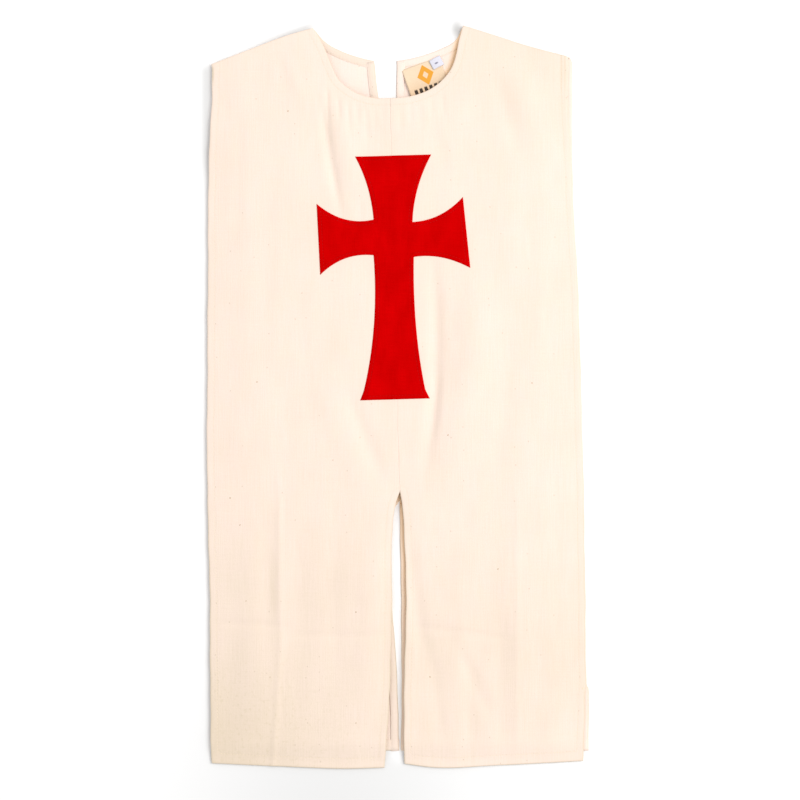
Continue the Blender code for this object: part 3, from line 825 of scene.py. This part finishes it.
# One side of an arm, from the inner corner to the tip, and how far its very end flares across
Flank = namedtuple("Flank", "inner middle tip flare", defaults=(0.0,))
Arm = namedtuple("Arm", "first second steps")
FLARE_START = 0.93
FLANK_POINTS = 20
INNER_CORNERS = (Point(-24.4, 194.5), Point(14.5, 197.0), Point(15.8, 232.0), Point(-24.4, 230.2))
CROSS_ARMS = (
    Arm(Flank(INNER_CORNERS[0], Point(-30.5, 161.5), Point(-42.9, 131.7)),
        Flank(INNER_CORNERS[1], Point(19.7, 163.0), Point(33.2, 129.5)), 34),
    Arm(Flank(INNER_CORNERS[1], Point(41.5, 190.0), Point(64.9, 172.0)),
        Flank(INNER_CORNERS[2], Point(43.5, 232.4), Point(72.3, 242.9)), 28),
    Arm(Flank(INNER_CORNERS[2], Point(18.5, 306.0), Point(29.2, 373.4), 2.7),
        Flank(INNER_CORNERS[3], Point(-24.4, 304.5), Point(-36.5, 375.4), -1.3), 66),
    Arm(Flank(INNER_CORNERS[3], Point(-53.0, 233.6), Point(-77.8, 249.9)),
        Flank(INNER_CORNERS[0], Point(-53.5, 194.2), Point(-81.4, 178.9)), 28),
)
WIDTH_SHARES = np.array([0.0, 0.012, 0.035, *np.linspace(0.075, 0.925, 18), 0.965, 0.988, 1.0])


def flank_curve(flank, shares):
    inner, middle, tip = (np.array(place) for place in (flank.inner, flank.middle, flank.tip))
    bend = 2 * middle - (inner + tip) / 2
    share = shares[:, None]
    flared = np.clip((share - FLARE_START) / (1.0 - FLARE_START), 0.0, 1.0) * np.array([flank.flare, 0.0])
    return (1 - share) ** 2 * inner + 2 * share * (1 - share) * bend + share**2 * tip + flared


def arm_shares(steps):
    """Shares of an arm's length from the middle of the cross, closer together at its tip."""
    return np.array([*np.linspace(0.0, 0.975, steps), 0.990, 1.0])


def cross_edge():
    """The edge of the cross all the way round, clockwise."""
    line = []
    for arm in CROSS_ARMS:
        shares = np.linspace(0.0, 1.0, FLANK_POINTS)
        line += [flank_curve(arm.first, shares), flank_curve(arm.second, shares)[::-1]]
    return np.vstack(line)


def cross_height(points):
    """The outer face of the cross: over the front, thicker where its edge is turned under."""
    from_edge = distance_to(points, cross_edge())
    turned = CROSS_HEM_RISE * smooth_step((CROSS_HEM_WIDTH - from_edge) / CROSS_HEM_SLOPE)
    rounding = CROSS_RIM_DROP * np.clip(1.0 - from_edge / CROSS_RIM_WIDTH, 0.0, 1.0) ** 2
    return front_height(points) + CROSS_RISE + turned - rounding


mesh = bmesh.new()
top_left, top_right, low_right, low_left = (np.array(corner) for corner in INNER_CORNERS)
u, v = WIDTH_SHARES[:, None, None], WIDTH_SHARES[None, :, None]
patches = [(1 - v) * ((1 - u) * top_left + u * top_right) + v * ((1 - u) * low_left + u * low_right)]
for arm in CROSS_ARMS:
    first, second = (flank_curve(flank, arm_shares(arm.steps)) for flank in (arm.first, arm.second))
    patches.append((1 - u) * first[None] + u * second[None])
for patch in patches:
    flat = patch.reshape(-1, 2)
    level = cross_height(flat).reshape(patch.shape[:2])
    values = (distance_to(flat, cross_edge()) - CROSS_STITCHES).reshape(patch.shape[:2])
    add_sheet(mesh, placed(patch, level), from_stitches=values)
bmesh.ops.remove_doubles(mesh, verts=mesh.verts[:], dist=SAME_PLACE * MM)
cross = finished("red_cross", mesh, CROSS_WALL)
paint = Paint("red_cotton")
stitches = paint.attribute("from_stitches")
groove = stitches.bell(0.8)
warp, weft = paint.noise((0.9, 22.0), 2.0), paint.noise((18.0, 0.9), 6.0)
lint = paint.noise((1.4, 1.4), 8.0, 3.0)
clouds = paint.noise((16.0, 30.0), 12.0)
# The stitch groove is painted darker: painted shade in the sunk stitch line
tone = 0.5 + warp * 0.5 + weft * 0.4 + lint * 0.5 + clouds * 0.9 - groove * 0.2
colour = paint.mixed(tone, CROSS_DARK_RED, CROSS_BRIGHT_RED)
pucker = paint.noise((1.6, 1.6), 4.0) * stitches.bell(3.0)
wrinkles = paint.noise((12.0, 3.0), 15.0)
height = warp * 0.08 + weft * 0.08 + lint * 0.06 - groove * 0.2 + pucker * 0.35 + wrinkles * 0.5
paint.set(Base_Color=colour, Roughness=0.95, Specular_IOR_Level=0.0, Normal=paint.bump(height))
dress(cross, paint.material, "cross")

# Label: a woven cream ribbon inside the right back neck, sewn on at a slant, its left edge standing up a
# little. It holds a plain amber lozenge, a row of dark woven bars and a thin line, and is painted darker
# towards its lower edge: painted shade towards the front's neckline.
Patch = namedtuple("Patch", "across down width height turn_degrees")
LABEL = Patch(30.2, 59.3, 40.0, 46.0, 20.0)
LABEL_WALL = 0.35
LABEL_RISE = 0.75
LABEL_CELL = 1.6
LABEL_CURL = 1.7
LABEL_SWELL = 0.5
RIBBON_DARK = (0.74, 0.56, 0.38, 1.0)
RIBBON_LIGHT = (0.86, 0.70, 0.52, 1.0)
RIBBON_SHADE = (0.70, 0.47, 0.28, 1.0)
AMBER = (0.76, 0.34, 0.035, 1.0)
DARK_BROWN = (0.045, 0.03, 0.02, 1.0)
LOZENGE_ALONG = 21.0
LOZENGE_BELOW = 12.5
BARS_ALONG = 20.0
BARS_HALF_WIDTH = 17.0
BARS_BELOW = 26.5
BAR_PITCH = 5.2
LINE_BELOW = 32.5


def patch_grid(patch, step):
    """The points of a turned rectangle, [column, row], and their places on it from its top left corner."""
    along = np.linspace(0.0, patch.width, round(patch.width / step) + 1)
    below = np.linspace(0.0, patch.height, round(patch.height / step) + 1)
    local = np.stack(np.meshgrid(along, below, indexing="ij"), axis=-1)
    turn = math.radians(patch.turn_degrees)
    right, lower = np.array([math.cos(turn), -math.sin(turn)]), np.array([math.sin(turn), math.cos(turn)])
    middle = np.array([patch.across, patch.down])
    x, y = local[..., :1] - patch.width / 2, local[..., 1:] - patch.height / 2
    return middle + x * right + y * lower, local


def lozenge_on(along, below, half_width, half_height, soft_from):
    """One inside an upright lozenge on the label, and nought outside it."""
    reach = abs(along - LOZENGE_ALONG) / half_width + abs(below - LOZENGE_BELOW) / half_height
    return 1.0 - reach.ramp(soft_from, 1.0)


points, local = patch_grid(LABEL, LABEL_CELL)
along, below = local[..., 0], local[..., 1]
curl = LABEL_CURL * np.exp(-along / 6.0) * smooth_step(below / 14.0)
swell = LABEL_SWELL * np.sin(np.pi * along / LABEL.width) * smooth_step(below / 20.0)
level = CALICO_WALL + LABEL_RISE + curl + swell
mesh = bmesh.new()
add_sheet(mesh, placed(points, level), along_label=along, down_label=below)
label = finished("woven_label", mesh, LABEL_WALL)
paint = Paint("woven_ribbon")
along, below = paint.attribute("along_label"), paint.attribute("down_label")
lozenge = lozenge_on(along, below, 9.0, 11.0, 0.93)
heart = lozenge_on(along, below, 3.2, 4.2, 0.9)
bars = (along * (2.0 * math.pi / BAR_PITCH)).sine().ramp(-0.55, -0.25)
bars = bars * (abs(along - BARS_ALONG) < BARS_HALF_WIDTH) * (below - BARS_BELOW).bell(3.0)
dark = bars + (below - LINE_BELOW).bell(0.8)
weave = paint.noise((0.8, 0.8), 3.0) + paint.noise((9.0, 0.7), 7.0)
cream = paint.mixed(0.5 + weave * 0.5, RIBBON_DARK, RIBBON_LIGHT)
# Painted shade: the ribbon darker towards its lower edge, near the front's neckline
lower_shade = paint.mixed(below.ramp(8.0, 30.0) * 0.6, cream, RIBBON_SHADE)
amber = paint.mixed(lozenge - heart * 0.9, lower_shade, AMBER)
colour = paint.mixed(dark.ramp(0.2, 0.6), amber, DARK_BROWN)
height = weave * 0.08 + lozenge * 0.06
paint.set(Base_Color=colour, Roughness=0.7, Specular_IOR_Level=0.25, Normal=paint.bump(height))
dress(label, paint.material, "label")

# Size tab: a short white ribbon with one small dark dash, folded double and sewn to the top of the label, so
# that it bows up a little in its middle.
SIZE_TAB = Patch(38.6, 36.9, 12.0, 10.0, 28.0)
TAB_WALL = 0.7
TAB_CELL = 1.0
TAB_RISE = 1.1
TAB_BOW = 0.5
TAB_DARK = (0.58, 0.57, 0.66, 1.0)
TAB_LIGHT = (0.78, 0.78, 0.86, 1.0)
DASH_COLOUR = (0.10, 0.09, 0.16, 1.0)
DASH = Spot(5.6, 5.4, 2.2, 1.0)
points, local = patch_grid(SIZE_TAB, TAB_CELL)
bow = TAB_BOW * np.sin(np.pi * local[..., 0] / SIZE_TAB.width)
level = CALICO_WALL + LABEL_RISE + TAB_RISE + bow
mesh = bmesh.new()
add_sheet(mesh, placed(points, level), along_tab=local[..., 0], down_tab=local[..., 1])
tab = finished("white_size_tab", mesh, TAB_WALL)
paint = Paint("white_ribbon")
weave = paint.noise((0.7, 0.7), 5.0)
white = paint.mixed(0.5 + weave * 0.6, TAB_DARK, TAB_LIGHT)
dash = spot_on(paint.attribute("along_tab"), paint.attribute("down_tab"), DASH)
colour = paint.mixed(dash.ramp(0.2, 0.8) * 0.75, white, DASH_COLOUR)
paint.set(Base_Color=colour, Roughness=0.6, Specular_IOR_Level=0.3, Normal=paint.bump(weave * 0.06))
dress(tab, paint.material, "size_tab")

# Sewing: straight lines of cream thread that hold the hems down, red thread round the cross, and short bar
# tacks where the slits end. Each stitch is a small bead of thread, drawn into the cloth by its own tension.
STITCH_LENGTH = 2.5
STITCH_PITCH = 3.2
STITCH_WIDTH = 0.42
STITCH_DEPTH = 0.30
FIRST_STITCH = 1.0
START_STRAY = 0.15
SIDE_STRAY = 0.06
LENGTH_SHARES = (0.9, 1.05)
THREAD_SINK = -0.02
TACK_ROWS = (-0.6, -0.2, 0.2, 0.6)
TACK_WIDTH = 5.0
TACK_SLANT = 0.6
SLIT_TACK = Point(-4.6, 716.5)
VENT_TACK = Point(185.5, 663.5)
CROSS_CORNER_GAP = 6.0
SEWN_SIDE_POINTS = 40
SEWN_TIP_POINTS = 30
BEADS_AT_A_TIME = 20
chance = np.random.default_rng(7)


def sew(name, lines, height, slot, material, rise=THREAD_SINK):
    """Stitches along some lines, on a surface of this height."""
    beads = []
    for line in lines:
        length = lengths_along(line)[-1]
        starts = np.arange(FIRST_STITCH, length - STITCH_LENGTH, STITCH_PITCH)
        starts = starts + chance.uniform(-START_STRAY, START_STRAY, len(starts))
        ends = starts + STITCH_LENGTH * chance.uniform(*LENGTH_SHARES, len(starts))
        tips = []
        for places in (starts, ends):
            points = points_along(line, places) + chance.normal(0.0, SIDE_STRAY, (len(places), 2))
            tips.append(placed(points, height(points) + rise))
        for start, end in zip(*(map(Vector, tip) for tip in tips)):
            turn = (end - start).to_track_quat("X", "Z").to_matrix().to_4x4()
            half_length = (end - start).length / 2
            size = Matrix.Diagonal((half_length, STITCH_WIDTH / 2 * MM, STITCH_DEPTH / 2 * MM, 1.0))
            beads.append(Matrix.Translation((start + end) / 2) @ turn @ size)
    mesh = bmesh.new()
    for first in range(0, len(beads), BEADS_AT_A_TIME):
        few = bmesh.new()
        for place in beads[first : first + BEADS_AT_A_TIME]:
            bmesh.ops.create_uvsphere(few, u_segments=6, v_segments=4, radius=1.0, matrix=place)
        data = bpy.data.meshes.new("beads")
        few.to_mesh(data)
        few.free()
        mesh.from_mesh(data)
        bpy.data.meshes.remove(data)
    thing = finished(name, mesh)
    thing.data.materials.append(material)
    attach(thing, "root")


def trimmed(line, start, end):
    """A line without this much of its start and its end."""
    run = lengths_along(line)
    return points_along(line, np.arange(start, run[-1] - end, 1.0))


def hem_stitches(panel):
    """The stitch line of each hem of a panel, short of its corners."""
    centre = panel_points(panel).reshape(-1, 2).mean(0)
    lines = []
    for hem in panel_hems(panel):
        inset = inset_line(hem, centre, hem.width - STITCH_INSET)
        lines.append(trimmed(inset, HEM_WIDTH - STITCH_INSET, HEM_WIDTH - STITCH_INSET))
    return lines


def thread(name, colour):
    paint = Paint(name)
    twist = paint.noise((0.5, 0.5), 2.0)
    lighter = tuple(min(1.0, part * 1.12) for part in colour)
    mixed = paint.mixed(0.5 + twist, (*colour, 1.0), (*lighter, 1.0))
    paint.set(Base_Color=mixed, Roughness=0.8, Specular_IOR_Level=0.2)
    return paint.material


def tack(place):
    """A bar tack: a few close stitches over and over one another."""
    left, right = place.across - TACK_WIDTH / 2, place.across + TACK_WIDTH / 2
    rows = [(place.down + row, place.down + row * TACK_SLANT) for row in TACK_ROWS]
    return [np.array([[left, start], [right, end]]) for start, end in rows]


cream_thread = thread("cream_thread", (0.80, 0.68, 0.52))
red_thread = thread("red_thread", (0.46, 0.002, 0.002))


def back_hem_height(points):
    """The top of the back's turned hems."""
    return back_height(points) + BACK_HEM_RISE


for panel, piece, height in (
    (BACK_LEFT, "back_left", back_hem_height),
    (BACK_RIGHT, "back_right", back_hem_height),
    (FRONT_LEFT, "front_left", front_height),
    (FRONT_RIGHT, "front_right", front_height),
):
    sew(piece + "_stitches", hem_stitches(panel), height, piece + "_cloth", cream_thread)
cross_lines = []
for arm in CROSS_ARMS:
    shares = np.linspace(0.0, 1.0, SEWN_SIDE_POINTS)
    first, second = flank_curve(arm.first, shares), flank_curve(arm.second, shares)
    within = SEWN_SIDE_POINTS // 4
    middle = (first[within] + second[within]) / 2
    tip = np.array([first[-1], second[-1]])
    tip = points_along(tip, np.linspace(0.0, math.dist(*tip), SEWN_TIP_POINTS))
    for line, start in ((first, 0.0), (second, 0.0), (tip, CROSS_CORNER_GAP)):
        inset = inset_line(Hem(line, 0.0), middle, CROSS_STITCHES)
        cross_lines.append(trimmed(inset, start, CROSS_CORNER_GAP))
sew("cross_stitches", cross_lines, cross_height, "cross_cloth", red_thread)
sew("slit_tack", tack(SLIT_TACK), back_hem_height, "back_left_cloth", cream_thread, 0.0)
sew("vent_tack", tack(VENT_TACK), front_height, "front_right_cloth", cream_thread, 0.0)

# Seed flecks: bits of brown cotton seed spun into the yarn. These are the ones that stand out, and the
# colour of the calico itself holds the fainter ones.
Fleck = namedtuple("Fleck", "across down size turn_degrees")
FLECK_LENGTH = 0.65
FLECK_WIDTH = 0.45
FLECK_HEIGHT = 0.12
FLECK_BROWN = (0.42, 0.31, 0.19, 1.0)
FLECK_TAN = (0.56, 0.43, 0.29, 1.0)
FLECKS = (
    Fleck(-110.0, 86.0, 1.3, 20.0),
    Fleck(-141.0, 357.0, 1.2, 80.0),
    Fleck(50.0, 410.0, 1.3, 40.0),
    Fleck(-65.0, 435.0, 0.9, 10.0),
    Fleck(-168.0, 473.0, 1.3, 100.0),
    Fleck(-158.0, 500.0, 1.2, 60.0),
    Fleck(-152.0, 576.0, 1.0, 30.0),
    Fleck(-42.0, 587.0, 1.3, 0.0),
    Fleck(-42.0, 698.0, 1.1, 70.0),
    Fleck(32.0, 652.0, 1.3, 120.0),
    Fleck(100.0, 544.0, 1.2, 15.0),
    Fleck(134.0, 358.0, 1.1, 90.0),
    Fleck(-96.0, 268.0, 0.8, 50.0),
    Fleck(92.0, 182.0, 0.8, 140.0),
    Fleck(-128.0, 652.0, 0.9, 35.0),
    Fleck(76.0, 690.0, 0.8, 75.0),
)
mesh = bmesh.new()
for fleck in FLECKS:
    spot = np.array([[fleck.across, fleck.down]])
    place = Vector(placed(spot, front_height(spot))[0])
    turn = Matrix.Rotation(math.radians(fleck.turn_degrees), 4, "Z")
    length, width = fleck.size * FLECK_LENGTH * MM, fleck.size * FLECK_WIDTH * MM
    size = Matrix.Diagonal((length, width, FLECK_HEIGHT * MM, 1.0))
    lie = Matrix.Translation(place) @ turn @ size
    bmesh.ops.create_icosphere(mesh, subdivisions=2, radius=1.0, matrix=lie)
flecks = finished("seed_flecks", mesh)
paint = Paint("cotton_seed")
colour = paint.mixed(0.5 + paint.noise((1.0, 1.0), 1.0), FLECK_BROWN, FLECK_TAN)
paint.set(Base_Color=colour, Roughness=0.9, Specular_IOR_Level=0.1)
flecks.data.materials.append(paint.material)
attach(flecks, "root")

# Stage: a plain white ground under the garment with faint soft shadows painted on it, a broad key light from
# the right, a bright even backdrop all round, and the camera looking straight down.
GROUND_SIZE = 4.0
GROUND_LEVEL = -0.02
GROUND_WHITE = (0.93, 0.93, 0.935, 1.0)
GROUND_SHADE = (0.56, 0.56, 0.555, 1.0)
SHOULDER_SLOPE = 0.358
SHOULDER_TIP_SHADOW = Spot(59.0, 369.0, 6.0, 9.0)
mesh = bmesh.new()
lie = Matrix.Translation((0.0, 0.0, GROUND_LEVEL * MM))
bmesh.ops.create_grid(mesh, x_segments=1, y_segments=1, size=GROUND_SIZE, matrix=lie)
ground = finished("ground", mesh)
paint = Paint("white_ground")
across, up = paint.axes()
# Painted shadows on the ground: below the foot (kept out of the skirt slit), beside the left side below the
# shoulder, above the left shoulder and beside the right shoulder's tip at the neck
below_foot = (across + 60.0).bell(190.0) * (1.0 - up.ramp(-420.0, -120.0)) * up.ramp(-620.0, -400.0)
below_foot = below_foot * (1.0 - (across - 1.0).bell(9.0) * up.ramp(-374.0, -352.0))
beside = (across + 193.0).bell(5.0) * up.ramp(190.0, 250.0) * (1.0 - up.ramp(326.0, 338.0))
above = (up - 336.5 - (across + 187.0) * SHOULDER_SLOPE).bell(4.5) * across.ramp(-165.0, -105.0)
above = above * (1.0 - across.ramp(-94.0, -76.0))
shade = below_foot * 0.5 + beside * 0.55 + above * 0.5 + spot_on(across, up, SHOULDER_TIP_SHADOW) * 0.95
colour = paint.mixed(shade, GROUND_WHITE, GROUND_SHADE)
paint.set(Base_Color=colour, Roughness=0.9, Specular_IOR_Level=0.1)
ground.data.materials.append(paint.material)


def area_light(name, place, aim, size, watts, colour):
    data = bpy.data.lights.new(name, "AREA")
    data.shape = "DISK"
    data.size = size
    data.energy = watts
    data.color = colour
    lamp = bpy.data.objects.new(name, data)
    lamp.location = place
    lamp.rotation_euler = (Vector(aim) - Vector(place)).to_track_quat("-Z", "Y").to_euler()
    bpy.context.scene.collection.objects.link(lamp)


KEY_PLACE = (2.2, 0.8, 2.8)
KEY_SIZE = 2.6
KEY_WATTS = 84.0
KEY_COLOUR = (1.0, 0.985, 0.965)
BACKDROP_COLOUR = (1.0, 1.0, 1.0, 1.0)
BACKDROP_STRENGTH = 0.82
area_light("key_light", KEY_PLACE, (0.0, 0.0, 0.0), KEY_SIZE, KEY_WATTS, KEY_COLOUR)
world = bpy.data.worlds.new("studio")
world.use_nodes = True
backdrop = world.node_tree.nodes["Background"]
backdrop.inputs["Color"].default_value = BACKDROP_COLOUR
backdrop.inputs["Strength"].default_value = BACKDROP_STRENGTH
scene = bpy.context.scene
scene.world = world
scene.view_settings.view_transform = "Standard"
scene.view_settings.look = "None"

CAMERA_HEIGHT = 1.9
CAMERA_ACROSS = 2.0
CAMERA_UP = -2.75
VIEW_WIDTH = 0.8
SENSOR_WIDTH = 36.0
camera_data = bpy.data.cameras.new("camera")
camera_data.sensor_width = SENSOR_WIDTH
camera_data.lens = SENSOR_WIDTH * CAMERA_HEIGHT / VIEW_WIDTH
camera = bpy.data.objects.new("camera", camera_data)
camera.location = (CAMERA_ACROSS * MM, CAMERA_UP * MM, CAMERA_HEIGHT + BODY_LEVEL * MM)
scene.collection.objects.link(camera)
scene.camera = camera
